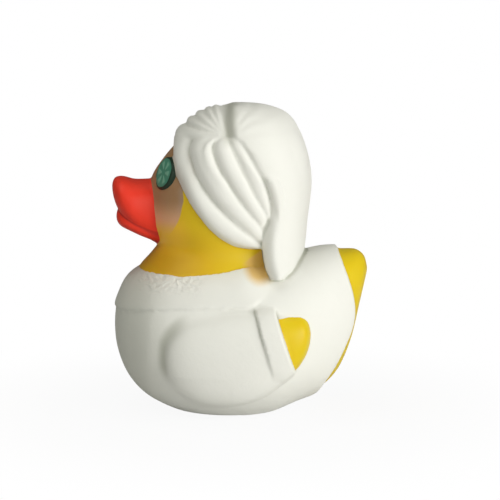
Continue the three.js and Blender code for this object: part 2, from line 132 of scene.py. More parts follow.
print("a run from 0 through 1 to 4, at its quarter:", smooth_run([(0,), (1,), (4,)])(0.25).round(3))


# %% Loft by extruding a ring
def extruded_loft(rings):
    """Closed bmesh through rings of equal length, made by extruding the first ring's edge."""
    bm = bmesh.new()
    order = bm.verts.layers.int.new("order")
    ring = bmesh.ops.create_circle(bm, segments=len(rings[0]), radius=1.0)["verts"]
    for place, vert in enumerate(ring):
        vert[order] = place
        vert.co = rings[0][place]
    edges = list(bm.edges)
    for points in rings[1:]:
        made = bmesh.ops.extrude_edge_only(bm, edges=edges)["geom"]
        ring = {item for item in made if isinstance(item, bmesh.types.BMVert)}
        edges = [item for item in made
                 if isinstance(item, bmesh.types.BMEdge) and all(vert in ring for vert in item.verts)]
        for vert in ring:
            vert.co = points[vert[order]]
    bmesh.ops.holes_fill(bm, edges=[edge for edge in bm.edges if edge.is_boundary])
    bmesh.ops.remove_doubles(bm, verts=bm.verts, dist=1e-6)
    bmesh.ops.recalc_face_normals(bm, faces=bm.faces)
    return bm


def oval_loft(stations, rings, sides, squareness=2.0, grow=None):
    """Loft of ovals. A station is (first, second, half width, middle), with side-view points [y, z].

    The skin can grow along its normals, by a thickness that is a function of the place.
    """
    first = smooth_run([(0, *station[0]) for station in stations])
    second = smooth_run([(0, *station[1]) for station in stations])
    across = smooth_run([(station[2], station[3], place * 10 * MM) for place, station in enumerate(stations)])
    loops = []
    for step in range(rings + 1):
        t = step / rings
        one, two, (half, middle, _) = first(t), second(t), across(t)
        loop = []
        for side in range(sides):
            angle = 2 * math.pi * side / sides
            point = (one + two) / 2 + (two - one) / 2 * power(math.sin(angle), squareness)
            loop.append((middle + half * power(math.cos(angle), squareness), point[1], point[2]))
        loops.append(loop)
    bm = extruded_loft(loops)
    if grow:
        bm.normal_update()
        moved = [vert.co + grow(vert.co.y, vert.co.z) * vert.normal for vert in bm.verts]
        for vert, co in zip(bm.verts, moved):
            vert.co = co
    return bm


# %% From a bmesh to an object
def as_object(bm, name):
    """Object of a bmesh, linked to the scene."""
    mesh = bpy.data.meshes.new(name)
    bm.to_mesh(mesh)
    bm.free()
    made = bpy.data.objects.new(name, mesh)
    bpy.context.scene.collection.objects.link(made)
    return made


def apply_modifiers(obj):
    """Bake an object's modifiers into its mesh."""
    bpy.context.view_layer.update()
    baked = bpy.data.meshes.new_from_object(obj.evaluated_get(bpy.context.evaluated_depsgraph_get()))
    old = obj.data
    obj.modifiers.clear()
    obj.data = baked
    bpy.data.meshes.remove(old)


def combine(base, other, operation):
    """Boolean of two closed objects, kept in the first one. The second one is deleted."""
    cut = base.modifiers.new("combine", "BOOLEAN")
    cut.object = other
    cut.operation = operation
    cut.solver = "MANIFOLD"
    apply_modifiers(base)
    bpy.data.objects.remove(other, do_unlink=True)
    return base


# %% Mirror, trim and fill in
FAR = 200 * MM


def mirrored(bm):
    """Both flanks: the shape and its mirror image across the duck."""
    twin = bmesh.ops.duplicate(bm, geom=bm.verts[:] + bm.edges[:] + bm.faces[:])["geom"]
    verts = [item for item in twin if isinstance(item, bmesh.types.BMVert)]
    bmesh.ops.scale(bm, vec=(-1, 1, 1), verts=verts)
    bmesh.ops.recalc_face_normals(bm, faces=bm.faces)
    return bm


def trimming_block(outline, name):
    """Block that reaches right across the duck, with an outline drawn in the side view as [y, z]."""
    bm = bmesh.new()
    ring = bmesh.ops.create_circle(bm, cap_ends=True, segments=len(outline), radius=1.0)["verts"]
    for vert, (y, z) in zip(ring, outline):
        vert.co = (-FAR, y, z)
    out = bmesh.ops.extrude_face_region(bm, geom=bm.faces[:])["geom"]
    bmesh.ops.translate(bm, vec=(2 * FAR, 0, 0), verts=[v for v in out if isinstance(v, bmesh.types.BMVert)])
    bmesh.ops.recalc_face_normals(bm, faces=bm.faces)
    return as_object(bm, name)


def dense(points, count=24):
    """Many points along the smooth curve through a few."""
    run = smooth_run([(0, *point) for point in points])
    return [tuple(run(step / count)[1:]) for step in range(count + 1)]


print("trimming blocks reach", FAR / MM, "mm to each side")

# %% [markdown]
# ## Body and head skins
# The real skin is poured vinyl, smooth and full. The body is lofted from the chest to the tail tip, with its
# back line above and its keel line below. The head and neck could be a second ball, but level rings from
# inside the shoulders to the crown keep the brow and the chin even and give the neck its waist.


# %% Body
def body_point(along, up):
    """Side-view point [y, z] from shares of the body's half length and its height."""
    return (BODY["middle"] + along * BODY["length"] / 2, up * BODY["height"])


# Back line, keel line and half width
BODY_STATIONS = [
    ((-1, 0.52), (-1, 0.52), 0),
    ((-0.975, 0.67), (-0.97, 0.38), 0.3),
    ((-0.88, 0.79), (-0.885, 0.23), 0.59),
    ((-0.67, 0.865), (-0.74, 0.115), 0.83),
    ((-0.38, 0.91), (-0.44, 0.01), 0.96),
    ((-0.07, 0.93), (-0.12, -0.03), 1),
    ((0.22, 0.94), (0.19, 0.008), 0.98),
    ((0.45, 0.955), (0.41, 0.075), 0.89),
    ((0.64, 0.987), (0.61, 0.135), 0.73),
    ((0.8, 0.993), (0.75, 0.235), 0.55),
    ((0.91, 0.99), (0.86, 0.42), 0.38),
    ((0.97, 0.955), (0.93, 0.65), 0.25),
    ((0.99, 0.91), (0.98, 0.81), 0.12),
    ((1, 0.87), (1, 0.87), 0),
]


def body_skin(grow=None, rings=96, sides=96):
    """The body's loft. Robe, collar and hollow grow it or shrink it."""
    stations = [(body_point(*keel), body_point(*back), half * BODY["width"] / 2, 0)
                for back, keel, half in BODY_STATIONS]
    return oval_loft(stations, rings=rings, sides=sides, squareness=2.2, grow=grow)


body = as_object(body_skin(), "body_form")
print("body:", len(body.data.polygons), "faces")


# %% Head and neck
def head_point(along, up):
    """Side-view point [y, z] from shares of the head's half length and its height."""
    return (HEAD["middle"] + along * HEAD["length"] / 2, HEAD["low"] + up * HEAD["height"])


# Front, back, level and half width
HEAD_STATIONS = [
    (-1.29, 1.03, 0, 1.24),
    (-1.21, 0.89, 0.11, 1.11),
    (-1.03, 0.83, 0.2, 0.98),
    (-0.94, 0.85, 0.26, 0.95),
    (-1.03, 0.96, 0.38, 0.99),
    (-1.06, 1.03, 0.52, 1),
    (-1.02, 1.04, 0.64, 0.99),
    (-0.87, 1, 0.74, 0.94),
    (-0.69, 0.91, 0.83, 0.84),
    (-0.4, 0.66, 0.95, 0.56),
    (0.09, 0.09, 1, 0),
]


def head_skin(grow=None, rings=72, sides=80):
    """The head's loft from the shoulders to the crown."""
    stations = [(head_point(front, up), head_point(back, up), half * HEAD["width"] / 2, 0)
                for front, back, up, half in HEAD_STATIONS]
    return oval_loft(stations, rings=rings, sides=sides, squareness=2.1, grow=grow)


head = as_object(head_skin(), "head_form")
print("head:", len(head.data.polygons), "faces")

# %% [markdown]
# ## Beak
# The upper half flares to a flat, slightly upturned lip, and the lower half tucks under it. One block with a
# groove cut into it would do, but two short lofts along the beak leave the mouth line by themselves.


# %% Beak
def beak_half(rows, shell):
    """One half from rows of a top point, a bottom point and a half width, in shares of the beak's sizes."""
    stations = []
    for top, bottom, half in rows:
        first, second = [(BEAK["root"] - along * BEAK["reach"], shell["low"] + up * shell["depth"])
                         for along, up in (bottom, top)]
        stations.append((first, second, half * BEAK["width"] / 2, 0))
    return oval_loft(stations, rings=40, sides=48, squareness=2.4)


UPPER_ROWS = [
    ((-0.5, 1), (-0.5, -0.2), 0.68),
    ((-0.05, 0.97), (0.06, -0.2), 0.75),
    ((0.24, 0.955), (0.34, -0.03), 0.88),
    ((0.55, 0.95), (0.59, 0.15), 1),
    ((0.8, 1), (0.77, 0.31), 0.94),
    ((0.94, 0.98), (0.88, 0.45), 0.72),
    ((0.985, 0.91), (0.955, 0.62), 0.42),
    ((1, 0.79), (1, 0.79), 0),
]
LOWER_ROWS = [
    ((-0.5, 0.6), (-0.5, 0), 0.56),
    ((0.05, 0.6), (0.05, 0.02), 0.62),
    ((0.35, 0.75), (0.35, 0.18), 0.7),
    ((0.62, 0.95), (0.62, 0.37), 0.72),
    ((0.8, 1.05), (0.82, 0.53), 0.6),
    ((0.88, 1.05), (0.895, 0.68), 0.4),
    ((0.92, 0.87), (0.92, 0.87), 0),
]
upper_beak = as_object(beak_half(UPPER_ROWS, UPPER_BEAK), "upper_beak_form")
lower_beak = as_object(beak_half(LOWER_ROWS, LOWER_BEAK), "lower_beak_form")
print("beak halves:", len(upper_beak.data.polygons), len(lower_beak.data.polygons), "faces")

# %% [markdown]
# ## Bathrobe and collar
# Cloth on a casting is a thickened stretch of the skin with a clear edge. It could be a Solidify shell of
# some chosen faces, but such an edge follows the faces. So the robe is the body's own loft, grown by its
# thickness and trimmed with a curve of the side view, and the collar is grown a little more.

# %% Robe
ABOVE_BACK = 1.3
ROBE_EDGE = [(0.4, 0.02), (0.575, 0.115), (0.65, 0.215), (0.73, 0.31), (0.808, 0.43), (0.87, 0.545),
             (0.888, 0.64), (0.865, 0.76), (0.8, 0.91), (0.745, 1.02)]


def dressed_body(thickness, low, edge, top, name):
    """The grown body in front of an edge curve, from a level up to a corner above the back."""
    outline = ([(-FAR, low)] + dense([body_point(*point) for point in edge])
               + [body_point(top, ABOVE_BACK), (-FAR, ABOVE_BACK * BODY["height"])])
    return combine(as_object(body_skin(thickness), name), trimming_block(outline, "trim"), "INTERSECT")


robe = dressed_body(lambda y, z: ROBE_THICKNESS, ROBE_THICKNESS, ROBE_EDGE, 0.7, "robe_form")
print("robe:", len(robe.data.polygons), "faces")

# %% Collar
COLLAR_LOW = 0.65
COLLAR_EDGE = [(-1.1, COLLAR_LOW), (-0.6, 0.705), (-0.1, 0.725), (0.08, 0.735), (0.18, 0.8), (0.28, 0.9),
               (0.38, 1.02)]


def smoothstep(value, low, high):
    """0 below the low limit, 1 above the high one, and an easy rise between them."""
    share = min(max((value - low) / (high - low), 0), 1)
    return share * share * (3 - 2 * share)


def collar_thickness(y, z):
    """The collar is thickest against the neck, thins out down the chest and fades into the robe behind."""
    towards_neck = smoothstep(z / BODY["height"], 0.7, 0.86)
    backwards = smoothstep((y - BODY["middle"]) / BODY["length"], 0, 0.13)
    full = COLLAR_THICKNESS * (0.75 + 0.5 * towards_neck)
    return full + (0.9 * ROBE_THICKNESS - full) * backwards


collar = dressed_body(collar_thickness, COLLAR_LOW * BODY["height"], COLLAR_EDGE, 0.42, "collar_form")
print("collar:", len(collar.data.polygons), "faces")

# %% [markdown]
# ## Sleeves, cuffs and wing tips
# Each wing wears a sleeve: a lobe that swells out of the flank, a raised cuff round its end, and the bare
# wing tip coming out of the cuff. A flattened ball would be too round for it, so it is lofted from front to
# back like the body. One side is made and mirrored.


# %% Sleeve, cuff and wing tip
def sleeve_point(along, up):
    """Side-view point [y, z] from shares of the sleeve's length and height."""
    return (SLEEVE["front"] + along * SLEEVE["length"], SLEEVE["low"] + up * SLEEVE["height"])


def lobe(rows, half_width, rings, extra=0.0, squareness=2.2):
    """Loft along the wing from rows of a top point, a bottom point and a half width."""
    stations = [(sleeve_point(*bottom), sleeve_point(*top), half * half_width + (extra if half else 0),
                 SLEEVE["middle"]) for top, bottom, half in rows]
    return oval_loft(stations, rings=rings, sides=64, squareness=squareness)


SLEEVE_ROWS = [
    ((0.055, 0.45), (0.055, 0.45), 0),
    ((0.075, 0.71), (0.125, 0.2), 0.55),
    ((0.19, 0.88), (0.27, 0.05), 0.83),
    ((0.41, 0.965), (0.5, 0), 0.98),
    ((0.62, 1), (0.75, 0.085), 1),
    ((0.84, 1), (0.99, 0.33), 0.92),
]
CUFF_ROWS = [
    ((0.71, 1.03), (0.87, 0.22), 0.97),
    ((0.77, 1.04), (0.94, 0.27), 0.95),
    ((0.845, 1.03), (1, 0.355), 0.92),
]
WING_TIP_ROWS = [
    ((0.77, 0.95), (0.9, 0.34), 1),
    ((0.94, 0.955), (1, 0.385), 0.97),
    ((1.05, 0.92), (1.05, 0.475), 0.78),
    ((1.09, 0.86), (1.085, 0.58), 0.5),
    ((1.11, 0.73), (1.11, 0.73), 0),
]
sleeves = as_object(mirrored(lobe(SLEEVE_ROWS, SLEEVE["half_width"], 48)), "sleeve_forms")
cuffs = as_object(mirrored(lobe(CUFF_ROWS, SLEEVE["half_width"], 12, CUFF_THICKNESS)), "cuff_forms")
tips = lobe(WING_TIP_ROWS, WING_TIP_HALF_WIDTH, 32, squareness=2.1)
wing_tips = as_object(mirrored(tips), "wing_tip_forms")
for made in (sleeves, cuffs, wing_tips):
    print(made.name, len(made.data.polygons), "faces")

# %% [markdown]
# ## Turban
# The towel is wound over the head. It could be draped as simulated cloth, but a casting's towel is sculpted:
# its core is an upright oval ball, a little squarer than an egg. The folds and the hanging end ride on the
# same surface, which is why it has a function of its own: it tells how far out the towel lies at any point
# of the side view.

# %% Turban surface
TURBAN_SQUARENESS = 2.35


def turban_point(along, up):
    """Side-view point [y, z] from shares of the turban's half length, rise and drop."""
    return (along * TURBAN["length"] / 2, TURBAN["level"] + up * TURBAN["rise" if up > 0 else "drop"])


def towel_across(y, z, lift=0.0, drop=TURBAN["drop"]):
    """Distance from the middle plane to the towel at a side-view point. It is 0 outside the outline."""
    height = z - TURBAN["level"]
    upright = (TURBAN["rise"] if height > 0 else drop) + lift
    rest = (1 - abs(y / (TURBAN["length"] / 2 + lift)) ** TURBAN_SQUARENESS
            - abs(height / upright) ** TURBAN_SQUARENESS)
    return (TURBAN["width"] / 2 + lift) * max(rest, 0) ** (1 / TURBAN_SQUARENESS)


def flank(along, up):
    """Unit direction of the left flank's point at these side-view shares."""
    y, z = turban_point(along, up)
    reach = towel_across(y, z)
    return np.array((reach / (TURBAN["width"] / 2), along, up))


def out_to(direction):
    """Direction from the turban's middle, scaled to end on its surface, in shares of its half sizes."""
    d = np.array(direction, float)
    return d / np.sum(np.abs(d) ** TURBAN_SQUARENESS) ** (1 / TURBAN_SQUARENESS)


def on_turban(direction, lift=0.0):
    """Point of the towel's surface in a direction from its middle."""
    d = out_to(direction)
    upright = TURBAN["rise"] if d[2] > 0 else TURBAN["drop"]
    return np.array((d[0] * (TURBAN["width"] / 2 + lift), d[1] * (TURBAN["length"] / 2 + lift),
                     TURBAN["level"] + d[2] * (upright + lift)))


print("towel from the middle at its level, in mm:", round(towel_across(0, TURBAN["level"]) / MM, 1))

# %% Towel core
TURBAN_EDGE = [(-0.93, 0.53), (-0.9, 0.24), (-0.81, -0.09), (-0.68, -0.21), (-0.53, -0.335), (-0.37, -0.455),
               (-0.13, -0.565), (0.13, -0.61), (0.42, -0.62)]


def towel_core():
    """The whole ball of the towel, trimmed along the hairline from the brow to the nape."""
    bm = bmesh.new()
    bmesh.ops.create_uvsphere(bm, u_segments=128, v_segments=96, radius=1.0)
    for vert in bm.verts:
        vert.co = on_turban(vert.co)
    bmesh.ops.recalc_face_normals(bm, faces=bm.faces)
    outline = ([(-FAR, turban_point(0, 0.53)[1])] + dense([turban_point(*point) for point in TURBAN_EDGE])
               + [(FAR, turban_point(0, -0.62)[1]), (FAR, FAR), (-FAR, FAR)])
    return combine(as_object(bm, "towel_core_form"), trimming_block(outline, "towel_trim"), "INTERSECT")


core = towel_core()
print("towel core:", len(core.data.polygons), "faces")

# %% [markdown]
# ## Hanging end of the towel
# The end of the towel comes over the crown and falls behind the cheeks to the collar. A thick sheet would
# show a hard front edge, so it is a loft whose sections fan out from the crown: each runs from one front
# edge round the back of the head to the other. The front edge is rolled under, and a soft valley forms where
# it meets the folds.

# %% Hanging end
# Front edge and back line, from the crown down to the hem
HOOD_STATIONS = [
    ((-0.26, 1.01), (-0.26, 1.01)),
    ((-0.26, 0.92), (0.08, 1.03)),
    ((-0.26, 0.76), (0.43, 0.99)),
    ((-0.21, 0.58), (0.7, 0.87)),
    ((-0.06, 0.47), (0.87, 0.62)),
    ((0.1, 0.22), (1.0, 0.23)),
    ((0.25, 0), (1.035, -0.04)),
    ((0.33, -0.17), (1.02, -0.2)),
    ((0.35, -0.34), (0.98, -0.39)),
    ((0.32, -0.52), (0.95, -0.595)),
    ((0.33, -0.67), (0.92, -0.72)),
    ((0.37, -0.79), (0.85, -0.8)),
    ((0.44, -0.87), (0.66, -0.87)),
]
HOOD_TUCK = 2.4 * MM
HOOD_ROLL = 4.5 * MM
HOOD_FLARE = 8 * MM


def hanging_end(rings=80, steps=40):
    """Loft over both flanks. Its last third flares out to the hem, and each section closes round behind."""
    front = smooth_run([(0, *turban_point(*first)) for first, _ in HOOD_STATIONS])
    rear = smooth_run([(0, *turban_point(*second)) for _, second in HOOD_STATIONS])
    loops = []
    for ring in range(rings + 1):
        start, end = front(ring / rings), rear(ring / rings)
        flank_points = []
        for step in range(steps + 1):
            share = (1 - math.cos(math.pi * step / steps)) / 2
            _, y, z = start + (end - start) * share
            roll = min(1, np.linalg.norm(end - start) * share / HOOD_ROLL)
            lift = (HOOD_THICKNESS + HOOD_TUCK) * math.sin(math.pi / 2 * roll) - HOOD_TUCK
            flare = HOOD_FLARE * max(0, 3 * ring / rings - 2) ** 1.5
            across = (towel_across(y, z, lift, HOOD_DROP) + flare) * math.sqrt(1 - share ** 5)
            flank_points.append((across, y, z))
        loops.append(flank_points + [(-x, y, z) for x, y, z in reversed(flank_points)])
    return as_object(extruded_loft(loops), "hanging_end_form")


towel_tail = hanging_end()
print("hanging end:", len(towel_tail.data.polygons), "faces")

# %% [markdown]
# ## Folds of the towel
# Between two creases the cloth swells into a lobe. Grooves could be cut into the ball, but round lobes with
# narrow creases look more like cloth. So the creases are drawn, as lines of the side view, and each lobe is
# lofted between two neighbours: its rings cross from one crease to the other and rise in the middle. All
# creases start at the gather on the temple.

# %% Lobe between two creases
LOBE_ROOT = 1.5 * MM
ROOT_SPREAD = 0.08
END_FULLNESS = 0.35
CREST_SQUARENESS = 2.2


def lobe_between(first, second, crest, rings=48, steps=14, base=0.0):
    """Loft between two creases: functions of 0 to 1 that return directions from the towel's middle."""
    loops = []
    for ring in range(rings + 1):
        t = ring / rings
        at_end = ring in (0, rings)
        swell = 0.0 if at_end else crest * math.sin(math.pi * t) ** END_FULLNESS
        top, under = [], []
        for step in range(steps + 1):
            side = 2 * step / steps - 1
            lift = -LOBE_ROOT / 2 if at_end else swell * (1 - abs(side) ** CREST_SQUARENESS)
            top.append(on_turban(first(t) + (second(t) - first(t)) * step / steps, base + lift))
            wide = 0.5 - (0.5 + ROOT_SPREAD) * side
            under.append(on_turban(first(t) + (second(t) - first(t)) * wide, base - LOBE_ROOT))
        loops.append([tuple(point) for point in top + under])
    return extruded_loft(loops)


print("each lobe is rooted", LOBE_ROOT / MM, "mm under the towel's surface")

# %% Creases drawn in the side view
GATHER = (-0.19, 0.6)
HAIRLINE = [GATHER, (-0.5, 0.61), (-0.88, 0.56), (-0.92, 0.24), (-0.83, -0.09), (-0.69, -0.21),
            (-0.54, -0.335), (-0.38, -0.455), (-0.14, -0.565), (0.12, -0.61), (0.34, -0.62)]
CREASE_A = [GATHER, (-0.4, 0.6), (-0.62, 0.57), (-0.7, 0.42), (-0.66, 0.26), (-0.55, 0.01), (-0.38, -0.16),
            (-0.16, -0.31), (0.04, -0.43), (0.34, -0.6)]
CREASE_SMALL = [GATHER, (-0.37, 0.56), (-0.5, 0.48), (-0.56, 0.36), (-0.54, 0.2), (-0.46, 0), (-0.34, -0.15)]
CREASE_B = [GATHER, (-0.31, 0.55), (-0.37, 0.47), (-0.35, 0.35), (-0.26, 0.14), (-0.12, -0.05), (0.04, -0.2),
            (0.34, -0.45)]
CREASE_C = [GATHER, (-0.14, 0.52), (-0.05, 0.33), (0.08, 0.07), (0.21, -0.12), (0.4, -0.32)]
HOOD_LINE = [GATHER, (0, 0.55), (0.1, 0.43), (0.24, 0.18), (0.37, -0.04), (0.43, -0.2), (0.43, -0.4)]
LEAF_FRONT = [(0.33, 0.05), (0.36, 0), (0.41, -0.09), (0.45, -0.2), (0.475, -0.3), (0.48, -0.38)]
LEAF_REAR = [(0.33, 0.05), (0.45, 0.06), (0.54, -0.04), (0.57, -0.16), (0.53, -0.3), (0.48, -0.38)]


def crease(points):
    """Crease of the left flank, as a function of 0 to 1."""
    run = smooth_run([(0, *point) for point in points])
    return lambda t: flank(*run(t)[1:])


print("the gather on the temple, in mm:", [round(value / MM, 1) for value in turban_point(*GATHER)])

# %% Folds
FLANK_LOBES = [
    (HAIRLINE, CREASE_A, 2 * MM),
    (CREASE_A, CREASE_SMALL, 1.2 * MM),
    (CREASE_SMALL, CREASE_B, 1.7 * MM),
    (CREASE_A, CREASE_B, 1.6 * MM),
    (CREASE_B, CREASE_C, 1.5 * MM),
    (CREASE_C, HOOD_LINE, 1.1 * MM),
]
BROW_CREASES = [(-0.93, 0.5), (-0.79, 0.76), (-0.66, 0.85), (-0.53, 0.94), (-0.41, 0.99), (-0.31, 1.02)]
BROW_CRESTS = [1.5 * MM, 1.1 * MM, 1 * MM, 0.9 * MM, 0.8 * MM]


def brow_crease(middle):
    """Crease from one gather over the forehead to the other. It looks straight from the side."""
    _, top_along, top_up = out_to((0, *middle))

    def at(t):
        share = math.sin(math.pi * t)
        along = GATHER[0] + (top_along - GATHER[0]) * share
        up = GATHER[1] + (top_up - GATHER[1]) * share
        return flank(along, up) * (math.copysign(1, math.cos(math.pi * t)), 1, 1)
    return at


folds = [as_object(mirrored(lobe_between(crease(first), crease(second), crest)), "flank_fold")
         for first, second, crest in FLANK_LOBES]
folds += [as_object(lobe_between(brow_crease(low), brow_crease(high), crest, rings=72), "brow_fold")
          for low, high, crest in zip(BROW_CREASES, BROW_CREASES[1:], BROW_CRESTS)]
leaf = lobe_between(crease(LEAF_FRONT), crease(LEAF_REAR), 1 * MM, base=HOOD_THICKNESS)
folds.append(as_object(mirrored(leaf), "leaf_fold"))
print(len(folds), "folds made")

# %% [markdown]
# ## Cucumber slices
# A slice is a round slab with a softened rim, laid on the slope of the face. It could be turned as a lathe
# shape, but a short cylinder with its front rim bevelled is the same and needs no profile.

# %% Slices
SLICE_FACING = Vector((0.45, -0.84, 0.3)).normalized()
SLICE_RIM = 0.6 * MM


def cucumber_slices():
    """Both slices, each facing forwards, outwards and a little up."""
    bm = bmesh.new()
    bmesh.ops.create_cone(bm, cap_ends=True, segments=72, radius1=SLICE["radius"], radius2=SLICE["radius"],
                          depth=SLICE["thickness"])
    rim = [edge for edge in bm.edges if all(vert.co.z > 0 for vert in edge.verts)]
    bmesh.ops.bevel(bm, geom=rim, offset=SLICE_RIM, segments=4, profile=0.5, affect="EDGES", material=-1)
    bmesh.ops.translate(bm, vec=(0, 0, -SLICE["thickness"] / 2), verts=bm.verts)
    turn = Vector((0, 0, 1)).rotation_difference(SLICE_FACING).to_matrix()
    bmesh.ops.transform(bm, matrix=turn.to_4x4(), verts=bm.verts)
    bmesh.ops.translate(bm, vec=(SLICE["across"], SLICE["along"], SLICE["level"]), verts=bm.verts)
    return as_object(mirrored(bm), "slice_forms")


slices = cucumber_slices()
print("slices:", len(slices.data.polygons), "faces")

# %% [markdown]
# ## One casting out of many forms
# The forms overlap, as clay would on a sculpt. A chain of unions would keep every crease knife-sharp. A voxel
# remesh turns them into one closed skin instead, a little smoothing rounds the creases as vinyl does in a
# mould, and a decimation keeps triangles where the shape needs them.

# %% Fuse the forms
VOXEL = 0.4 * MM
VINYL_FORMS = [body, head, wing_tips]
TOWEL_FORMS = [core, towel_tail, *folds]
CLOTH_FORMS = [robe, collar, sleeves, cuffs, *TOWEL_FORMS]
BEAK_FORMS = [upper_beak, lower_beak]
SLICE_FORMS = [slices]
ALL_FORMS = VINYL_FORMS + CLOTH_FORMS + BEAK_FORMS + SLICE_FORMS


def joined_mesh(objects):
    """All these objects' triangles in one bmesh."""
    bm = bmesh.new()
    for obj in objects:
        bm.from_mesh(obj.data)
    return bm


def voxel_skin(objects, name):
    """One closed skin round all these objects."""
    skin = as_object(joined_mesh(objects), name)
    remesh = skin.modifiers.new("remesh", "REMESH")
    remesh.mode = "VOXEL"
    remesh.voxel_size = VOXEL
    apply_modifiers(skin)
    return skin


duck = voxel_skin(ALL_FORMS, "duck_casting")
print("fused:", len(duck.data.polygons), "quads")

# %% Soften and thin
MOST_TRIANGLES = 170000

# All creases, then those of the robe's front, of the sleeve's front, and of the sleeve's lower corner, which
# melts into the robe
SOFT_PLACES = [
    (3, lambda place: True),
    (6, lambda place: place.y < 2.5 * MM and place.z < 38.5 * MM),
    (40, lambda place: -26 * MM < place.y < 1 * MM and place.z < 33 * MM),
    (120, lambda place: -26 * MM < place.y < -2 * MM and 4 * MM < place.z < 15.5 * MM),
]


def softened(skin, rounds, where):
    """Smooth the skin a number of times, and only where a place passes the test."""
    bm = bmesh.new()
    bm.from_mesh(skin.data)
    verts = [vert for vert in bm.verts if where(vert.co)]
    for _ in range(rounds):
        bmesh.ops.smooth_vert(bm, verts=verts, factor=0.5, use_axis_x=True, use_axis_y=True, use_axis_z=True)
    bm.to_mesh(skin.data)
    bm.free()


for rounds, where in SOFT_PLACES:
    softened(duck, rounds, where)
thin = duck.modifiers.new("thin", "DECIMATE")
thin.ratio = min(1.0, MOST_TRIANGLES / (2 * len(duck.data.polygons)))
apply_modifiers(duck)
print("thinned:", len(duck.data.polygons), "triangles")

# %% [markdown]
# ## Sole, hollow and vent
# Such a duck stands on a level sole, is hollow, and breathes through a vent, which is where it squeaks. The
# sole could be scaled flat, but a cut keeps the sides as they are. The hollow is made from the body's and the
# head's own lofts, drawn in by the wall, because a Solidify modifier would also follow every fold.

# %% Level sole
WALL_THICKNESS = 2.5 * MM
VENT_RADIUS = 1.5 * MM
VENT_ALONG = -0.1


def level_sole(obj):
    """Cut everything below the floor away and close the cut."""
    bm = bmesh.new()
    bm.from_mesh(obj.data)
    cut = bmesh.ops.bisect_plane(bm, geom=bm.verts[:] + bm.edges[:] + bm.faces[:], plane_co=(0, 0, 0),
                                 plane_no=(0, 0, 1), clear_inner=True)["geom_cut"]
    bmesh.ops.holes_fill(bm, edges=[item for item in cut if isinstance(item, bmesh.types.BMEdge)])
    bmesh.ops.triangulate(bm, faces=[face for face in bm.faces if len(face.verts) > 4])
    bm.to_mesh(obj.data)
    bm.free()


level_sole(duck)
print("with a level sole:", len(duck.data.polygons), "faces")


# %% Hollow and vent
def hollow_form():
    """The body and head skins drawn in by the wall, above a floor of the same wall."""
    skins = [as_object(skin(lambda y, z: -WALL_THICKNESS, rings=40, sides=48), "hollow_form")
             for skin in (body_skin, head_skin)]
    floor_up = [(-FAR, WALL_THICKNESS), (FAR, WALL_THICKNESS), (FAR, FAR), (-FAR, FAR)]
    return combine(combine(*skins, "UNION"), trimming_block(floor_up, "floor_trim"), "INTERSECT")


def vent_form():
    """Upright pin that is cut out of the sole."""
    bm = bmesh.new()
    bmesh.ops.create_cone(bm, cap_ends=True, segments=48, radius1=VENT_RADIUS, radius2=VENT_RADIUS,
                          depth=4 * WALL_THICKNESS)
    bmesh.ops.translate(bm, vec=(0, body_point(VENT_ALONG, 0)[0], 0), verts=bm.verts)
    return as_object(bm, "vent_form")


combine(duck, hollow_form(), "DIFFERENCE")
combine(duck, vent_form(), "DIFFERENCE")
print("casting:", len(duck.data.polygons), "faces")

# %% [markdown]
# ## Where each paint lies
# The painter follows the relief, so each point's paint is that of the nearest form. A material for each face
# would leave a jagged border. So the distances to the forms are stored on the vertices in millimetres. Their
# difference is zero on the border and grows away from it, so a shader can draw the border sharply, let it
# wobble, or fade it as an airbrush does.

# %% Paint fields
points = [vert.co.copy() for vert in duck.data.vertices]


def distances(objects):
    """Distance from each of the casting's vertices to the nearest of these objects, in millimetres."""
    nearby = BVHTree.FromBMesh(joined_mesh(objects))
    return np.array([nearby.find_nearest(point)[3] for point in points]) / MM


def store(name, values):
    """Keep one number for each vertex where a shader can read it."""
    field = duck.data.attributes.new(name, "FLOAT", "POINT")
    field.data.foreach_set("value", np.asarray(values, dtype=np.float32))


away_from = {"vinyl": distances(VINYL_FORMS), "cloth": distances(CLOTH_FORMS),
             "beak": distances(BEAK_FORMS), "slice": distances(SLICE_FORMS)}
for name in ("cloth", "beak", "slice"):
    others = [values for other, values in away_from.items() if other != name]
    store(name, np.minimum.reduce(others) - away_from[name])
store("towel", distances([body, head, robe, collar]) - distances(TOWEL_FORMS))
store("sleeve", distances([robe]) - distances([sleeves]))
store("lower_beak", distances([upper_beak]) - distances([lower_beak]))
for form in ALL_FORMS:
    bpy.data.objects.remove(form, do_unlink=True)
print("paint fields stored on", len(points), "vertices")

# %% [markdown]
# ## Fields that follow the face and the folds
# The clay mask ends in a line down the cheek and fades out below. It is drawn here as the distance in front
# of that line. Shade in the folds could come from Blender's own pointiness, but that shows only in one of its
# engines. So the depth of each fold comes from comparing the skin with a smoothed copy of itself: a vertex
# that lies under the smoothed skin is in a valley, which the shader darkens with painted shade.

# %% Edge of the mask
MASK_LEVELS = [52, 55, 58.3, 61.1, 66.1, 68.9, 70.2, 72]
MASK_EDGE = [-23, -21.2, -19, -17.7, -16.6, -16.8, -16, -12]
MASK_FADES = (54.5, 60.5)

places = np.array(points) / MM
store("mask", np.interp(places[:, 2], MASK_LEVELS, MASK_EDGE) - places[:, 1])
fading = np.clip((places[:, 2] - MASK_FADES[0]) / (MASK_FADES[1] - MASK_FADES[0]), 0, 1)
store("mask_fade", fading * fading * (3 - 2 * fading))
print("the mask fades from", MASK_FADES[1], "down to", MASK_FADES[0], "mm above the floor")


